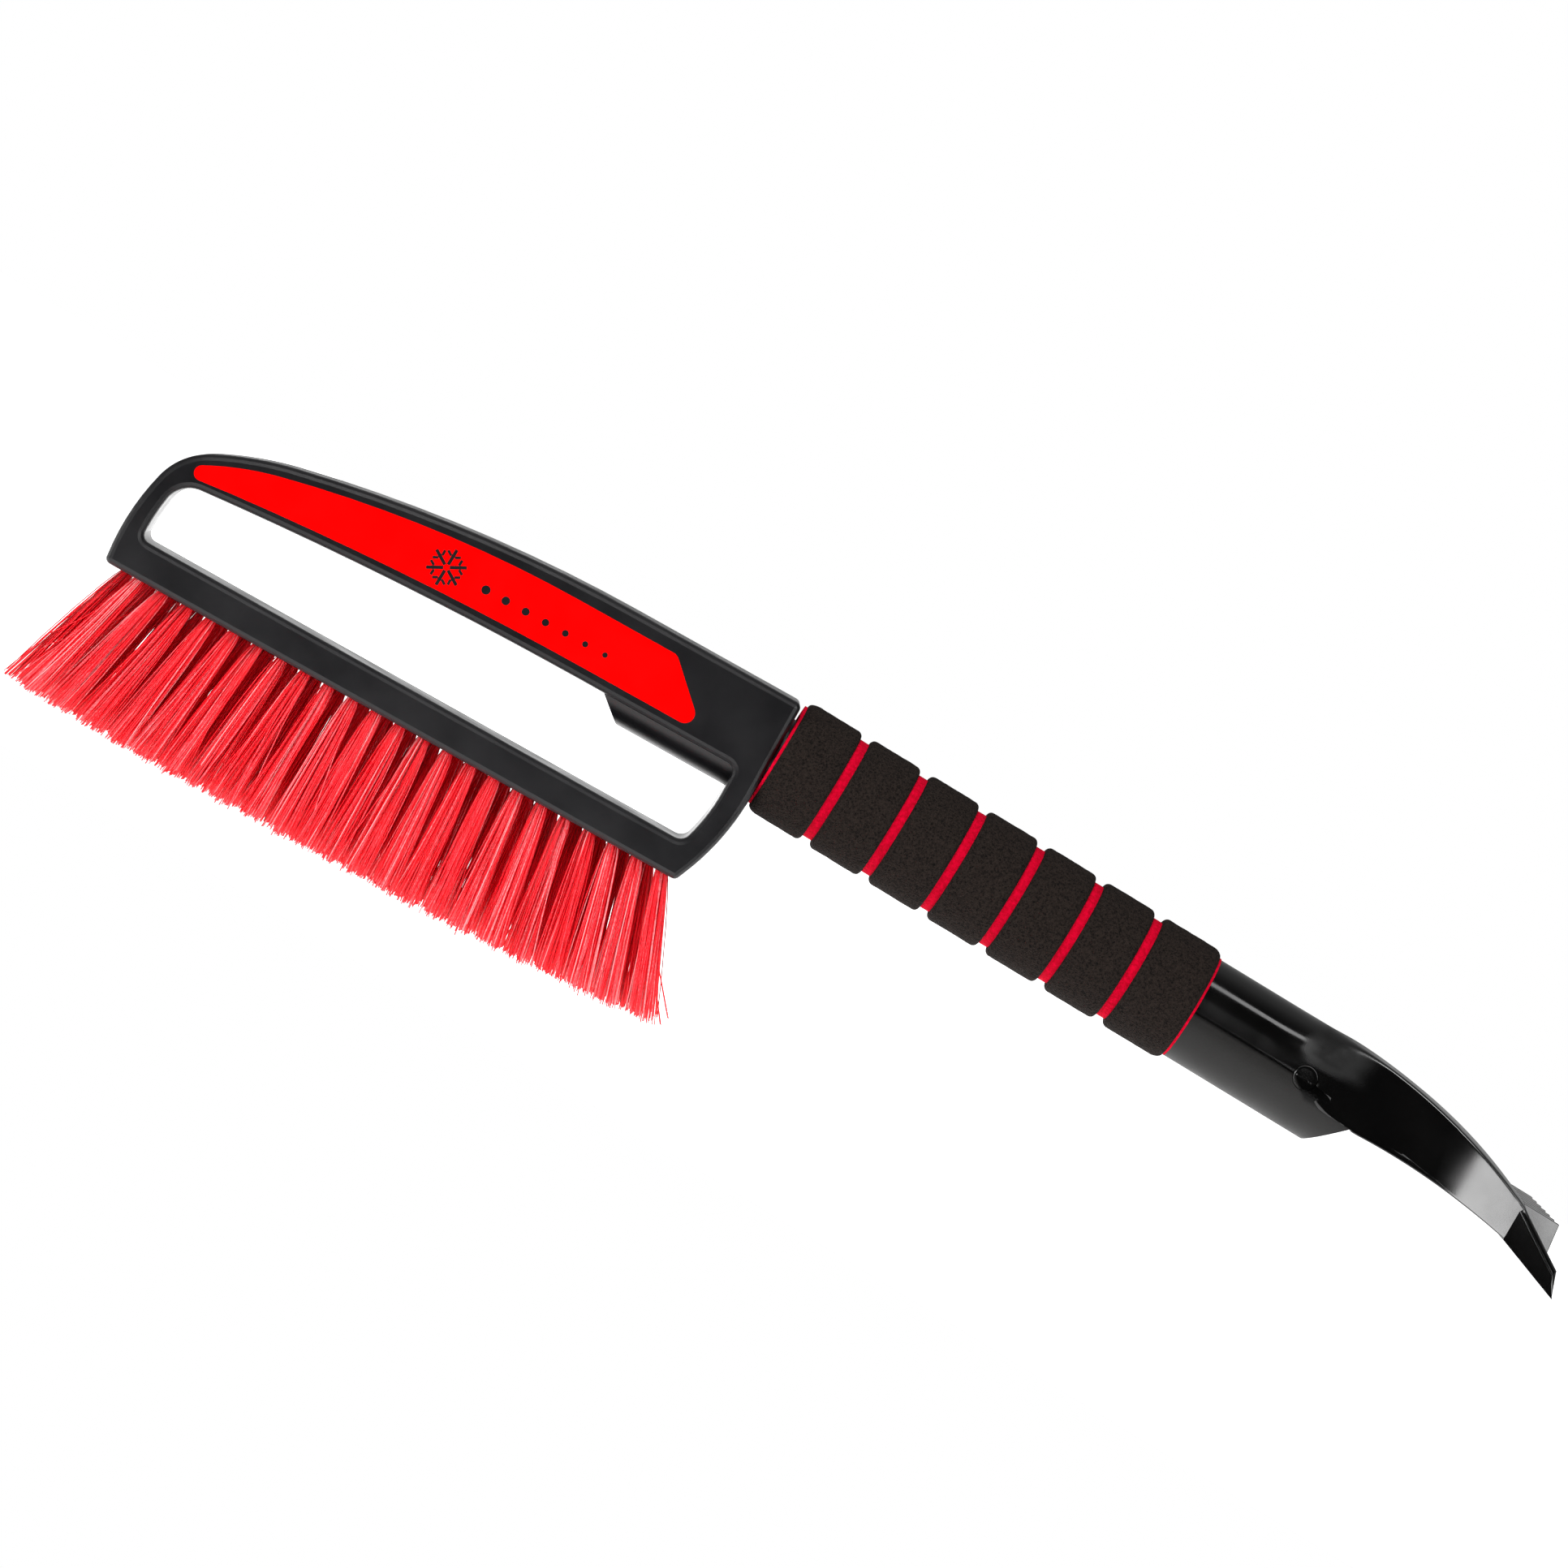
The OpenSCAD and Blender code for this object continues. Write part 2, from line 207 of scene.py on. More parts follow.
def black_foam():
    """Closed-cell foam: matt, with fine open pores painted darker as painted shade inside them, and a
    slight mottle.
    """
    s = Shader("black_foam", Roughness=0.95, Specular_IOR_Level=0.1)
    mottle = s.noise(1000, 3)
    pores = s.pores(1500)
    # the pores are painted darker: painted shade in the open pores, on top of the random mottle
    tone_and_shade = s.math("MULTIPLY", mottle, s.remap(pores, 0.0, 0.5, 0.35, 1.3))
    s.set(s.bsdf, {"Base Color": s.ramp(tone_and_shade, (0.2, (0.0002, 0.0001, 0.0001)),
                                        (0.7, (0.0145, 0.0102, 0.0083)))})
    s.bump(s.math("ADD", pores, mottle), 0.0005)
    return s.material


def red_foam():
    s = Shader("red_foam", Roughness=0.9, Specular_IOR_Level=0.05)
    mottle = s.noise(900, 3)
    s.set(s.bsdf, {"Base Color": s.ramp(mottle, (0.3, (0.36, 0.0, 0.010)), (0.7, (0.58, 0.0, 0.022)))})
    s.bump(s.pores(1600), 0.00012)
    return s.material


def label_red():
    """Smooth opaque red with a soft sheen."""
    s = Shader("label_red", Specular_IOR_Level=0.04)
    cloudy = s.noise(90, 2)
    s.set(s.bsdf, {"Base Color": s.ramp(cloudy, (0.3, (0.97, 0.0, 0.0)), (0.7, (1.0, 0.0, 0.0)))})
    s.set(s.bsdf, {"Roughness": s.remap(cloudy, 0.3, 0.7, 0.32, 0.4)})
    s.bump(s.noise(1800, 2), 0.000004)
    return s.material


def bristle_red():
    """Red nylon filament, toned filament by filament, letting some light through; the dark end of its
    colour ramp is painted shade and the pink end a painted highlight.
    """
    s = Shader("bristle_red", Roughness=0.32, Specular_IOR_Level=0.6, Emission_Color=(1, 0, 0.015, 1),
               Emission_Strength=0.02)  # stands for light scattered from filament to filament
    tone_and_shade = s.add("ShaderNodeAttribute", {"attribute_name": "tone_and_shade"}).outputs["Fac"]
    streak = s.noise(1200, 2)
    mixed = s.math("ADD", tone_and_shade, s.remap(streak, 0.3, 0.7, -0.1, 0.1))
    # the ramp paints shade at its dark end and a pink painted highlight at its light end
    colour = s.ramp(mixed, (0.0, (0.45, 0.0, 0.004)), (0.3, (0.93, 0.004, 0.016)),
                    (0.65, (1.0, 0.016, 0.035)), (0.82, (1.0, 0.12, 0.15)), (1.0, (1.0, 0.4, 0.42)))
    s.set(s.bsdf, {"Base Color": colour})
    s.bump(streak, 0.00002)
    thin = s.add("ShaderNodeBsdfTranslucent", Color=colour).outputs["BSDF"]
    mix = s.add("ShaderNodeMixShader", Fac=0.4)
    s.tree.links.new(s.bsdf.outputs["BSDF"], mix.inputs[1])
    s.tree.links.new(thin, mix.inputs[2])
    s.tree.links.new(mix.outputs["Shader"], s.tree.nodes["Material Output"].inputs["Surface"])
    return s.material


def drawn_metal(name, colour):
    """Metal with fine lines along X from drawing."""
    s = Shader(name, Metallic=1.0)
    lines = s.noise(2500, 2, stretch=(0.02, 1, 1))
    s.set(s.bsdf, {"Base Color": s.ramp(lines, (0.3, tuple(0.85 * c for c in colour)), (0.7, colour))})
    s.set(s.bsdf, {"Roughness": s.remap(lines, 0.3, 0.7, 0.28, 0.42)})
    s.bump(lines, 0.00001)
    return s.material


MATERIALS = {
    "head_black": moulded_plastic("head_plastic", (0.0032, 0.003, 0.0038), 0.34, 0.00002, 0.36),
    "scraper_black": scraper_gloss(),
    "label_red": label_red(),
    "bristle_red": bristle_red(),
    "anchor_wire": drawn_metal("anchor_wire", (0.55, 0.55, 0.57)),
    "tube_black": moulded_plastic("tube_black", (0.02, 0.02, 0.022), 0.35, 0.00001),  # anodised
    "foam_red": red_foam(),
    "foam_black": black_foam(),
}
SOCKET_BLACK = socket_satin()


def shade_smooth(obj, degrees):
    """Smooth shading, with edges sharper than this many degrees kept crisp."""
    with bpy.context.temp_override(object=obj, active_object=obj, selected_editable_objects=[obj]):
        bpy.ops.object.shade_smooth_by_angle(angle=math.radians(degrees))


def dress(obj, slot):
    obj.data.materials.clear()
    obj.data.materials.append(MATERIALS[slot])


def new_piece(name, slot, vertices, faces, stands_for=()):
    """A mesh piece from points in row metres, riding with the part."""
    mesh = bpy.data.meshes.new(name)
    mesh.from_pydata([tuple(v) for v in vertices], [], faces)
    mesh.validate()
    mesh.shade_smooth()
    obj = bpy.data.objects.new(name, mesh)
    bpy.context.scene.collection.objects.link(obj)
    dress(obj, slot)
    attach(obj, "root")
    if stands_for:
        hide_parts(*stands_for)
    return obj


def dress_cad():
    """Material and shading for every CAD piece."""
    for entry in frame["record"]["subparts"]:
        node = frame["nodes"][entry["node"]]
        dress(node, entry["material_slot"])
        shade_smooth(node, 35)


# ---------------------------------------------------------------- foam grip

CORNER = 1.9  # length along the grip of a foam ring's rounded corner
END_CORNER = 3.6  # the same at the two ends of the grip

def ring_profile(x0, x1, inner, outer, left, right, steps=7):
    """Closed (x, r) loop of a foam ring; left and right are the axial sizes of its rounded corners."""
    deep = 0.9 * (outer - inner)
    points = [(x0 + left * (1 - math.cos(a)), outer - deep * (1 - math.sin(a)))
              for a in (math.pi / 2 * k / steps for k in range(steps + 1))]
    flat = 24
    span = (x1 - right) - (x0 + left)
    points += [(x0 + left + span * k / flat, outer) for k in range(1, flat)]
    points += [(x1 - right * (1 - math.cos(a)), outer - deep * (1 - math.sin(a)))
               for a in (math.pi / 2 * (1 - k / steps) for k in range(steps + 1))]
    points += [(x1, inner), ((x0 + x1) / 2, inner), (x0, inner)]
    return points


def revolve(name, slot, profile, bumps, segments=168, stands_for=()):
    """A body of revolution about the grip axis; bumps is the height in mm of its uneven skin."""
    inner = min(r for _, r in profile)
    vertices = []
    for i in range(segments):
        a = 2 * math.pi * i / segments
        for x, r in profile:
            point = at(x, r * math.cos(a), r * math.sin(a))
            if r > inner + 0.3:
                swell = noise.noise(point / MM * 0.35) + 0.6 * noise.noise(point / MM * 1.1)
                r += bumps * swell
                point = at(x, r * math.cos(a), r * math.sin(a))
            vertices.append(point)
    n = len(profile)
    faces = []
    for i in range(segments):
        j = (i + 1) % segments
        for k in range(n):
            m = (k + 1) % n
            faces.append((i * n + k, j * n + k, j * n + m, i * n + m))
    new_piece(name, slot, vertices, faces, stands_for)


def foam_grip():
    rings = sorted(n for n in frame["nodes"] if n.startswith("foam_ring_"))
    for place, ring in enumerate(rings):
        low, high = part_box(ring)
        outer = (high.z - low.z) / 2 / MM
        left = END_CORNER if place == 0 else CORNER
        right = END_CORNER if place == len(rings) - 1 else CORNER
        profile = ring_profile(along_axis(low.x), along_axis(high.x), CORE_R, outer, left, right)
        revolve("foam_skin_%d" % (place + 1), "foam_black", profile, 0.10, stands_for=[ring])
    x0, x1 = along_axis(core_low.x), along_axis(core_high.x)
    tube_low, tube_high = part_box("handle_tube")
    bore = (tube_high.z - tube_low.z) / 2 / MM
    steps = 150
    profile = [(x0 + (x1 - x0) * k / steps, CORE_R - 0.05) for k in range(steps + 1)]
    profile += [(x1, bore), (x0, bore)]
    revolve("red_foam_layer", "foam_red", profile, 0.05, stands_for=["grip_core"])


# ---------------------------------------------------------------- bristles

FILAMENTS = 84  # in one tuft
FILAMENT_R = 0.19
FILAMENT_SIDES = 5
WIRE_R = 0.45
ANCHOR_DEPTH = 7.0  # how deep in the tuft holes the anchor wires sit
ROOT_DEPTH = 2.0  # how deep in the holes the drawn filaments start
ROOT_R = 1.85
BRISTLE_LEN = 48.6
HALF_RAIL = 97.5
SPLAY = {"front": -4, "middle": 0, "rear": 4}  # degrees that a row leans towards +Y
# painted shade: each row further back is painted darker, standing for the shade cast on it by the rows in
# front
ROW_SHADE = {"front": 0.56, "middle": 0.36, "rear": 0.24}
EXTRA_WIDTH = {"front": 0, "middle": 0.6, "rear": 1.2}  # of the tufts' spread at the tips
STATIONS = np.array([0, 0.04, 0.1, 0.22, 0.42, 0.7, 1.0])  # points along a filament
STRAYS = ((0, -298.5, -88), (1, -296.5, -90.5), (0, -291, -90),
          (-1, -65, -90), (-1, -65.4, -90), (-1, -66, -93), (-1, -66.4, -93))  # tuft and tip


class Row:
    """Places and directions of one row of tufts, taken from the row's anchor wires."""

    def __init__(self, name, tufts=23):
        low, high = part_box("anchors_" + name)
        y = (low.y + high.y) / 2 / MM
        first = np.array([along_axis(low.x) + WIRE_R, y, (low.z - AXIS.z) / MM + WIRE_R])
        last = np.array([along_axis(high.x) - WIRE_R, y, (high.z - AXIS.z) / MM - WIRE_R])
        self.along = (last - first) / np.linalg.norm(last - first)
        self.down = np.array([self.along[2], 0, -self.along[0]])
        self.mouths = [first + (last - first) * i / (tufts - 1) + self.down * ANCHOR_DEPTH
                       for i in range(tufts)]
        self.middle = (first + last) / 2


def filament_mesh(name, paths, tones_and_shade, along, stands_for):
    """One mesh of thin closed rods that follow the paths, toned point by point with random tone, painted
    shade and painted light.
    """
    paths = np.array(paths)
    count, steps = paths.shape[0], paths.shape[1]
    turn = 2 * np.pi * np.arange(FILAMENT_SIDES) / FILAMENT_SIDES
    around = np.cos(turn)[:, None] * along + np.sin(turn)[:, None] * np.array([0, 1, 0])
    rings = paths[:, :, None, :] + FILAMENT_R * around[None, None, :, :]
    vertices = rings.reshape(-1, 3) * MM + np.array(AXIS)
    faces = []
    for f in range(count):
        base = f * steps * FILAMENT_SIDES
        for s in range(steps - 1):
            for k in range(FILAMENT_SIDES):
                m = (k + 1) % FILAMENT_SIDES
                a = base + s * FILAMENT_SIDES
                b = a + FILAMENT_SIDES
                faces.append((a + k, b + k, b + m, a + m))
        faces.append(tuple(base + k for k in range(FILAMENT_SIDES)))
        end = base + (steps - 1) * FILAMENT_SIDES
        faces.append(tuple(end + k for k in reversed(range(FILAMENT_SIDES))))
    obj = new_piece(name, "bristle_red", vertices, faces, stands_for)
    tone_and_shade = obj.data.attributes.new("tone_and_shade", "FLOAT", "POINT")
    tone_and_shade.data.foreach_set("value", np.repeat(np.ravel(tones_and_shade), FILAMENT_SIDES).astype(np.float32))


def filament(rng, row, mouth, shift, wide, reach, splay):
    """Points of one filament: it leaves its hole and spreads quickly at first."""
    a = rng.uniform(0, 2 * np.pi)
    far = math.sqrt(rng.uniform(0, 1))
    side, deep = far * math.cos(a), far * math.sin(a)
    length = reach * (1 + rng.normal(0, 0.014)) - abs(rng.normal(0, 0.9))
    drift = rng.normal(0, 0.75) + (rng.normal(0, 2.4) if rng.uniform() < 0.08 else 0)  # some bend aside
    across = np.array([0.0, 1.0, 0.0])
    root = mouth - row.down * ROOT_DEPTH
    tip = mouth + row.down * length * math.sqrt(1 - (shift / reach) ** 2) + row.along * shift
    tip += across * (splay * length + rng.normal(0, 0.5))
    s = STATIONS[:, None]
    spread = ROOT_R + (wide - ROOT_R) * np.clip((s - 0.04) / 0.96, 0, 1) ** 0.55
    bow = row.along * rng.normal(0, 0.35) + across * rng.normal(0, 0.35)
    path = root + (tip - root) * s + spread * (row.along * side + across * deep)
    path += row.along * drift * s ** 1.5 + bow * 4 * s * (1 - s)
    path[:, 2] = np.maximum(path[:, 2], FILAMENT_R - AXIS.z / MM)  # the longest ones rest on the floor
    return path


def stray(rng, row, mouth, x, z):
    """Points of one filament that has bent away from its tuft and ends at (x, z)."""
    s = STATIONS[:, None]
    tip = np.array([x, mouth[1] + rng.normal(0, 1.5), z])
    root = mouth - row.down * ROOT_DEPTH
    return root + (tip - root) * s - row.along * 4 * (s * (1 - s)) * 0.12 * (tip - root)[0]


def bristle_rows():
    rows = {name: Row(name) for name in ("front", "middle", "rear")}
    mid_rail = (rows["front"].middle + rows["middle"].middle) / 2
    for order, (name, row) in enumerate(rows.items()):
        rng = np.random.default_rng(40 + order)
        splay = math.tan(math.radians(SPLAY[name]))
        paths = []
        tones_and_shade = []
        for mouth in row.mouths:
            t = float((mouth - mid_rail) @ row.along) / HALF_RAIL
            reach = BRISTLE_LEN - 1.5 * t
            shift = 10 * t + 1.2 * t ** 2 + 5 * t ** 3 + rng.normal(0, 0.7)  # the end tufts fan out
            wide = rng.uniform(3.7, 4.7) + EXTRA_WIDTH[name]
            # a random tone for the tuft plus its row's painted shade
            tuft_tone_and_shade = ROW_SHADE[name] + rng.uniform(-0.07, 0.07)
            for _ in range(FILAMENTS):
                paths.append(filament(rng, row, mouth, shift, wide, reach, splay))
                # random tone per filament, with painted light that grows towards the tip
                tones_and_shade.append(tuft_tone_and_shade + rng.normal(0, 0.23) + 0.08 * STATIONS)
        if name == "front":
            for tuft, x, z in STRAYS:
                paths.append(stray(rng, row, row.mouths[tuft], x, z))
                # painted light that grows towards the tip of each stray filament
                tones_and_shade.append(0.3 + 0.1 * STATIONS)
        filament_mesh("bristles_" + name + "_filaments", paths, tones_and_shade, row.along, ["bristles_" + name])


# ---------------------------------------------------------------- scraper

SOCKET_R = 17.8
SOCKET_Z = -0.2
TUBE_R = 12.5
TUBE_END = 128.0
FAN_TOP = 17.7
FAN_BOTTOM = -6.6
FAN_HALF = 17.7  # half width of the fan where it leaves the socket
SHOULDER_END = 139  # the fan's underside comes out of the socket up to here
PIN_X = 117.8
PIN_R = 4.12
BLADE_X = 194.5
BEVEL_X = 204.0
BLADE_HALF = 52.5
FINS = 7
FIN_PITCH = 13.8
FIN_T = 2.4
RIDGE = 0.4  # height of the flash left along the mould's parting line
FIN_DRAFT = math.tan(math.radians(5))


def ease(x, low, high):
    t = min(max((x - low) / (high - low), 0), 1)
    return t * t * (3 - 2 * t)


def parting(x):
    """Height of the mould's parting line on the scraper's side."""
    return -0.32 - 0.056 * (math.hypot(x - 122, 6) + x - 122)


def fan_lines(x):
    """Top, bottom, crown and half width of the fan at x."""
    if x <= BLADE_X:
        top = FAN_TOP - 0.7 * (max(x - 122, 0) / 20) ** 2.29
        bottom = FAN_BOTTOM - 3.2 * ((max(x, 141) - 157) / 37.5) ** 2
        crown = 1.9 * (max(x - 130, 0) / (BLADE_X - 130)) ** 1.3
        half = FAN_HALF + 0.00694 * max(min(x, 178) - 122, 0) ** 2
        return top, bottom, crown, half + 0.777 * max(x - 178, 0)
    crown = 1.9 * (BEVEL_X - x) / (BEVEL_X - BLADE_X)
    top = 2.05 - (x - BLADE_X) * 0.63 + crown
    return top, -9 - (x - BLADE_X) * 0.3, crown, BLADE_HALF - 1


def resample(y, z, count):
    """The polyline again with count points, closer together where it turns."""
    dy, dz = np.diff(y), np.diff(z)
    length = np.hypot(dy, dz)
    turn = np.abs(np.diff(np.unwrap(np.arctan2(dz, dy)), prepend=np.arctan2(dz[0], dy[0])))
    steps = np.concatenate([[0], np.cumsum(length / length.sum() + turn / turn.sum())])
    marks = np.linspace(0, steps[-1], count)
    return list(zip(np.interp(marks, steps, y), np.interp(marks, steps, z)))


def section(x, blend, dense=1441):
    """Outline at x of the socket's circle blended with the fan's rounded box, from the bottom by +Y."""
    a = np.linspace(-np.pi / 2, 3 * np.pi / 2, dense)
    top, bottom, crown, half = fan_lines(x)
    squareness = 2.3 + 25 * min(max(x - 118, 0) / 22, 1) ** 1.5  # of a superellipse
    power = np.where(a % (2 * np.pi) < np.pi, 2 / squareness, 1 / squareness)
    side = np.sign(np.cos(a)) * np.abs(np.cos(a)) ** power
    rise = np.sign(np.sin(a)) * np.abs(np.sin(a)) ** power
    y = half * side
    z = (top + bottom + crown) / 2 + (top - bottom - crown) / 2 * rise - crown * side ** 2
    y = (1 - blend) * SOCKET_R * np.cos(a) + blend * y
    z = (1 - blend) * (SOCKET_R * np.sin(a) + SOCKET_Z) + blend * z
    return y, z


def sides(z, level):
    """Where an outline from section() crosses the level on its +Y and its -Y side."""
    middle = len(z) // 2
    low = z < level
    return np.flatnonzero(low[:middle])[-1] + 1, middle + np.flatnonzero(low[middle:])[0]


def fan_ring(x, upper=96, lower=60):
    """Cross-section at x with a raised flash at the parting line, which fades out towards the blade."""
    y, z = section(x, ease(x, 102, 130))
    low_y, low_z = section(x, ease(x, 117, 131))  # the underside leaves the round socket later
    fade = 1 - ease(x, 160, 176)
    line = max(parting(x), z.min() + 0.4)
    start, stop = sides(z, line + RIDGE * fade)
    right, left = sides(low_z, line - 0.08)
    order = np.concatenate([np.arange(left, len(low_z) - 1), np.arange(right)])
    if x < SHOULDER_END:  # the socket's lower half takes over below this height
        order = order[low_z[order] > -2 + (FAN_BOTTOM + 2) * ease(x, 118, 128)]
    inset = 1 - (0.6 - 0.54 * ease(x, 118, 128)) * fade / SOCKET_R  # stays inside the satin lower half
    upper_part = resample(y[start:stop], z[start:stop], upper)
    lower_part = resample(low_y[order] * inset, low_z[order], lower)
    left, right = upper_part[-1], upper_part[0]
    flash = 0.67 * RIDGE * fade
    ring = upper_part + [(left[0] - flash, line)] + lower_part + [(right[0] + flash, line)]
    return [(x, py, pz) for py, pz in ring]


def raw_mesh(name, points, faces, material):
    mesh = bpy.data.meshes.new(name)
    mesh.from_pydata([tuple(at(*p)) for p in points], [], faces)
    mesh.materials.append(material)
    obj = bpy.data.objects.new(name, mesh)
    bpy.context.scene.collection.objects.link(obj)
    return obj


def loft(name, rings, material):
    """A closed body through rings that run anticlockwise as seen from the last one."""
    n = len(rings[0])
    faces = [tuple(reversed(range(n)))]
    for k in range(len(rings) - 1):
        for i in range(n):
            j = (i + 1) % n
            faces.append((k * n + i, k * n + j, (k + 1) * n + j, (k + 1) * n + i))
    end = (len(rings) - 1) * n
    faces.append(tuple(end + i for i in range(n)))
    return raw_mesh(name, [p for ring in rings for p in ring], faces, material)


def prism(name, outline, y0, y1, material, bevel=0.0, draft=0.0):
    """An XZ outline carried from y0 to y1, with softened edges; draft widens it towards the bottom."""
    n = len(outline)
    top = max(z for _, z in outline)
    points = [(x, y + grow * (top - z), z) for y, grow in ((y0, -draft), (y1, draft)) for x, z in outline]
    faces = [tuple(range(n)), tuple(n + i for i in reversed(range(n)))]
    faces += [(i, n + i, n + (i + 1) % n, (i + 1) % n) for i in range(n)]
    obj = raw_mesh(name, points, faces, material)
    if bevel:
        edge = obj.modifiers.new("soft_edges", "BEVEL")
        edge.width = bevel * MM
        edge.segments = 3
        bake(obj)
    return obj


def round_bar(name, radius, x0, x1, material, z=0.0, sides=128):
    rings = []
    for x in (x0, x1):
        turn = [2 * math.pi * i / sides for i in range(sides)]
        rings.append([(x, radius * math.cos(a), z + radius * math.sin(a)) for a in turn])
    return loft(name, rings, material)


def cross_bar(name, radius, half, x, z, material, sides=64):
    """A round bar along Y through (x, z)."""
    turn = [-2 * math.pi * i / sides for i in range(sides)]
    rings = [[(x + radius * math.cos(a), y, z + radius * math.sin(a)) for a in turn] for y in (-half, half)]
    return loft(name, rings, material)


def bake(obj):
    """Turns the object's modifiers into mesh."""
    bpy.context.view_layer.update()
    evaluated = obj.evaluated_get(bpy.context.evaluated_depsgraph_get())
    mesh = bpy.data.meshes.new_from_object(evaluated)
    obj.modifiers.clear()
    obj.data = mesh


def combine(obj, other, operation):
    """Boolean of two closed meshes; the second is used up."""
    cut = obj.modifiers.new("cut", "BOOLEAN")
    cut.operation = operation
    cut.solver = "EXACT"
    cut.material_mode = "TRANSFER"
    cut.object = other
    bake(obj)
    bpy.data.objects.remove(other)


def blade():
    """The blade with its two upper end edges well rounded."""
    r = 2.2
    insets = (0, 0.1, 0.3, 0.6, 1.0, 1.5, r)
    rings = []
    for side, steps in ((-1, insets), (1, insets[::-1])):
        for e in steps:
            drop = r - math.sqrt(r * r - (r - e) ** 2)
            outline = [(193.5, -9.8), (216.4, -18), (213.3 - 0.53 * drop, -9.6 - 0.85 * drop),
                       (BLADE_X - 0.53 * drop, 2.25 - 0.85 * drop)]
            rings.append([(x, side * (BLADE_HALF - e), z) for x, z in reversed(outline)])
    return loft("blade", rings, MATERIALS["scraper_black"])


def side_y(x, z):
    """Half width of the scraper's side near the pin."""
    blend = ease(x, 102, 130) if z > parting(x) else 0
    return (1 - blend) * math.sqrt(SOCKET_R ** 2 - (z - SOCKET_Z) ** 2) + blend * FAN_HALF


def pin(sides=64):
    """The cross pin: flush ends with a raised rim, the lower half as satin as the socket round it."""
    gloss = MATERIALS["scraper_black"]
    end = ((0.9, 0), (1.8, 0), (2.7, 0), (3.7, 0), (3.95, 0.15), (PIN_R, -0.2))
    rings = []
    for side, steps in ((-1, end), (1, end[::-1])):
        for r, lift in steps:
            turn = [-2 * math.pi * i / sides for i in range(sides)]
            ring = [(PIN_X + r * math.cos(a), r * math.sin(a)) for a in turn]
            rings.append([(x, side * (side_y(x, z) + lift), z) for x, z in ring])
    obj = loft("pin", rings, gloss)
    obj.data.materials.append(SOCKET_BLACK)
    line = at(0, 0, parting(PIN_X)).z
    for face in obj.data.polygons:
        face.material_index = int(face.center.z < line)
    return obj


def ride_scraper(obj, stands_for):
    shade_smooth(obj, 32)
    even = obj.modifiers.new("even_shading", "WEIGHTED_NORMAL")
    even.keep_sharp = True
    bake(obj)
    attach(obj, "root")
    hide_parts(stands_for)


def scraper():
    gloss = MATERIALS["scraper_black"]
    start = along_axis(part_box("scraper_body")[0].x)
    places = [start] + list(np.arange(start + 3, 100, 6))  # wide apart while the socket is round
    places += list(np.arange(100, BLADE_X, 1.5)) + [BLADE_X, 199, BEVEL_X]
    body = loft("scraper", [fan_ring(x) for x in places], gloss)
    low = round_bar("low", SOCKET_R, start, 145, SOCKET_BLACK, SOCKET_Z)
    outline = [(start - 1, -19), (128, -19), (128.1, -18.1), (138.7, FAN_BOTTOM), (140, -2.6),
               (122, -0.8), (start - 1, -0.5)]
    combine(low, prism("keep", outline, -20, 20, SOCKET_BLACK), "INTERSECT")
    combine(body, low, "UNION")
    combine(body, blade(), "UNION")
    for i in range(FINS):
        y = (i - (FINS - 1) / 2) * FIN_PITCH
        fin = prism("fin", [(204, -6), (208.9, -6.9), (207.7, 3), (194.2, 3.1), (193.5, 0)],
                    y - FIN_T / 2, y + FIN_T / 2, gloss, 0.25, FIN_DRAFT)
        combine(body, fin, "UNION")
    combine(body, round_bar("bore", TUBE_R, start - 1, TUBE_END, gloss), "DIFFERENCE")
    combine(body, cross_bar("pin_hole", PIN_R + 0.06, 20, PIN_X, 0, gloss), "DIFFERENCE")
    ride_scraper(body, "scraper_body")
    ride_scraper(pin(), "scraper_pin")


# ---------------------------------------------------------------- label print


def bar(x0, z0, x1, z1, width):
    """Outline of a straight stroke."""
    length = math.hypot(x1 - x0, z1 - z0)
    nx, nz = -(z1 - z0) / length * width / 2, (x1 - x0) / length * width / 2
    return [(x0 + nx, z0 + nz), (x0 - nx, z0 - nz), (x1 - nx, z1 - nz), (x1 + nx, z1 + nz)]


def snowflake(x, z, radius, width):
    """Six plain arms with one pair of twigs each, as stroke outlines that don't overlap."""
    strokes = []
    for k in range(6):
        a = math.radians(30 + 60 * k)
        c, s = math.cos(a), math.sin(a)
        gap = 0.95 * width
        strokes.append(bar(x + gap * c, z + gap * s, x + radius * c, z + radius * s, width))
        for side in (-1, 1):
            b = a + side * math.radians(58)
            fork_x, fork_z = x + 0.55 * radius * c, z + 0.55 * radius * s
            near, far = 0.75 * width, 0.42 * radius
            strokes.append(bar(fork_x + near * math.cos(b), fork_z + near * math.sin(b),
                               fork_x + far * math.cos(b), fork_z + far * math.sin(b), 0.8 * width))
    return strokes


def dot(x, z, radius, sides=20):
    turn = [2 * math.pi * i / sides for i in range(sides)]
    return [(x + radius * math.cos(a), z + radius * math.sin(a)) for a in turn]


def label_print(label, side):
    """A plain snowflake and a trail of dots printed on a label plate."""
    low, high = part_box(label)
    face = (high.y if side > 0 else low.y) / MM
    y0, y1 = sorted((face, face + side * 0.06))
    outlines = snowflake(-200.5, -3.3, 6.5, 1.1)
    for k in range(7):
        x = -186 + 7.2 * k
        outlines.append(dot(x, -2.9 + 0.046 * (x + 186), 1.5 - 0.1 * k))
    points, faces = [], []
    for outline in outlines:
        n, base = len(outline), len(points)
        points += [(x, y, z) for y in (y0, y1) for x, z in outline]
        faces += [tuple(base + i for i in range(n)), tuple(base + n + i for i in reversed(range(n)))]
        faces += [(base + i, base + n + i, base + n + (i + 1) % n, base + (i + 1) % n) for i in range(n)]
    obj = raw_mesh("print_" + label, points, faces, MATERIALS["head_black"])
    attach(obj, "root")


dress_cad()
foam_grip()
bristle_rows()
scraper()
label_print("label_front", -1)
label_print("label_rear", 1)


# ---------------------------------------------------------------- stage, light and camera


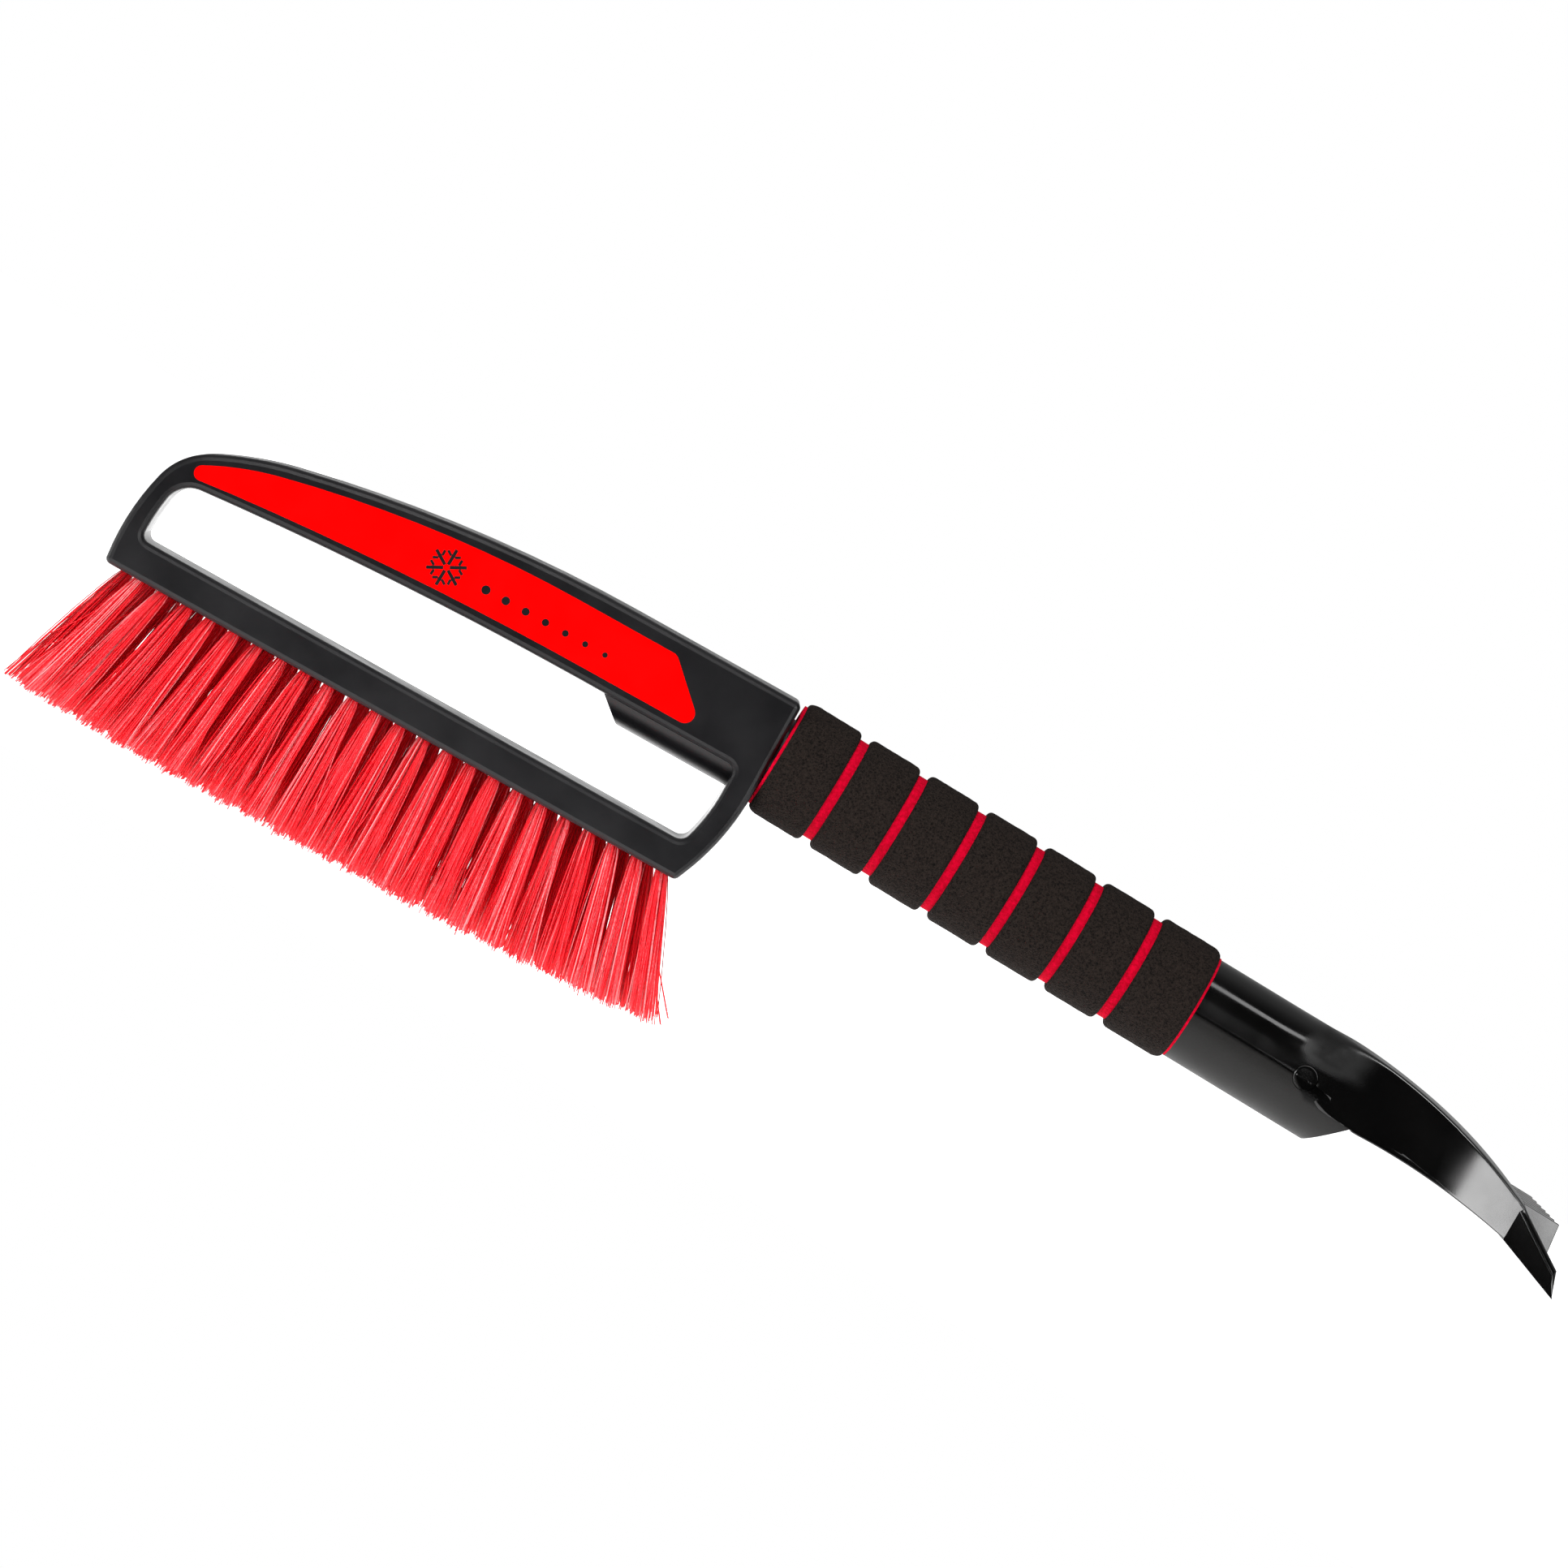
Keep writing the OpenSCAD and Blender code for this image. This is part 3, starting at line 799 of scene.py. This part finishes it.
def emission_world():
    """White all round for the camera and behind the object, darker on the camera's side for reflections."""
    world = bpy.data.worlds.new("studio")
    bpy.context.scene.world = world
    world.use_nodes = True
    tree = world.node_tree
    tree.nodes.clear()
    coords = tree.nodes.new("ShaderNodeTexCoord")
    split = tree.nodes.new("ShaderNodeSeparateXYZ")
    tree.links.new(coords.outputs["Generated"], split.inputs["Vector"])
    shade = tree.nodes.new("ShaderNodeMapRange")
    shade.inputs["From Min"].default_value = -0.25
    shade.inputs["From Max"].default_value = 0.35
    shade.inputs["To Min"].default_value = 0.03
    shade.inputs["To Max"].default_value = 0.3
    tree.links.new(split.outputs["Y"], shade.inputs["Value"])
    studio = tree.nodes.new("ShaderNodeBackground")
    tree.links.new(shade.outputs["Result"], studio.inputs["Strength"])
    white = tree.nodes.new("ShaderNodeBackground")
    white.inputs["Strength"].default_value = 1.0
    for node in (studio, white):
        node.inputs["Color"].default_value = (1, 1, 1, 1)
    path = tree.nodes.new("ShaderNodeLightPath")
    mix = tree.nodes.new("ShaderNodeMixShader")
    tree.links.new(path.outputs["Is Camera Ray"], mix.inputs["Fac"])
    tree.links.new(studio.outputs["Background"], mix.inputs[1])
    tree.links.new(white.outputs["Background"], mix.inputs[2])
    out = tree.nodes.new("ShaderNodeOutputWorld")
    tree.links.new(mix.outputs["Shader"], out.inputs["Surface"])


def softbox(name, place, target, width, height, power):
    """A rectangular light at a point, turned towards a target; both in mm from the grip's middle."""
    data = bpy.data.lights.new(name, "AREA")
    data.shape = "RECTANGLE"
    data.size = width * MM
    data.size_y = height * MM
    data.energy = power
    obj = bpy.data.objects.new(name, data)
    bpy.context.scene.collection.objects.link(obj)
    obj.location = at(*place)
    obj.rotation_mode = "QUATERNION"
    obj.rotation_quaternion = (at(*target) - at(*place)).to_track_quat("-Z", "Y")


def pale_floor():
    """A pale floor under the bristle tips."""
    wide, near, far = 2.5, -0.22, 3.0
    mesh = bpy.data.meshes.new("floor")
    corners = [(-wide, near, 0), (wide, near, 0), (wide, far, 0), (-wide, far, 0)]
    mesh.from_pydata(corners, [], [(0, 1, 2, 3)])
    obj = bpy.data.objects.new("floor", mesh)
    bpy.context.scene.collection.objects.link(obj)
    obj.location = (0, 0, cad_box[0].z - 0.0004)
    s = Shader("pale_floor", Roughness=0.9, Specular_IOR_Level=0.0, Emission_Color=(1, 1, 1, 1),
               Emission_Strength=1.2)
    cloudy = s.noise(3, 2)
    s.set(s.bsdf, {"Base Color": s.ramp(cloudy, (0.3, (0.93, 0.93, 0.93)), (0.7, (0.95, 0.95, 0.95)))})
    mesh.materials.append(s.material)


def photo_camera():
    """Level camera that looks straight across the tool, rolled so that the grip runs down to the right."""
    roll = math.radians(31.31)
    data = bpy.data.cameras.new("camera")
    data.sensor_width = 36
    data.lens = 178.9
    data.shift_x = 0.0278
    data.shift_y = -0.2519
    data.clip_end = 50
    obj = bpy.data.objects.new("camera", data)
    bpy.context.scene.collection.objects.link(obj)
    right = Vector((math.cos(roll), 0, math.sin(roll)))
    up = Vector((-math.sin(roll), 0, math.cos(roll)))
    back = Vector((0, -1, 0))
    turn = Matrix((right, up, back)).transposed().to_4x4()
    obj.matrix_world = Matrix.Translation(at(-150, -2500, 94)) @ turn
    bpy.context.scene.camera = obj


emission_world()
pale_floor()
softbox("top_strip", (-92, -342, 828), (-92, 0, 0), 596, 130, 1.46)
softbox("upper_front", (-900, -1400, 1500), (-60, 0, -20), 1400, 700, 44)
softbox("left_panel", (-921, -449, -51), (190, -48, 0), 160, 700, 5.2)
softbox("fin_panel", (480, -1500, 465), (205, -45, 0), 200, 700, 5.4)
softbox("back_card", (-190, 600, -7), (-190, 0, -30), 320, 160, 0.3)
softbox("right_fill", (1500, -1300, 300), (0, 0, 0), 900, 900, 20)
photo_camera()
bpy.context.scene.view_settings.view_transform = "Standard"
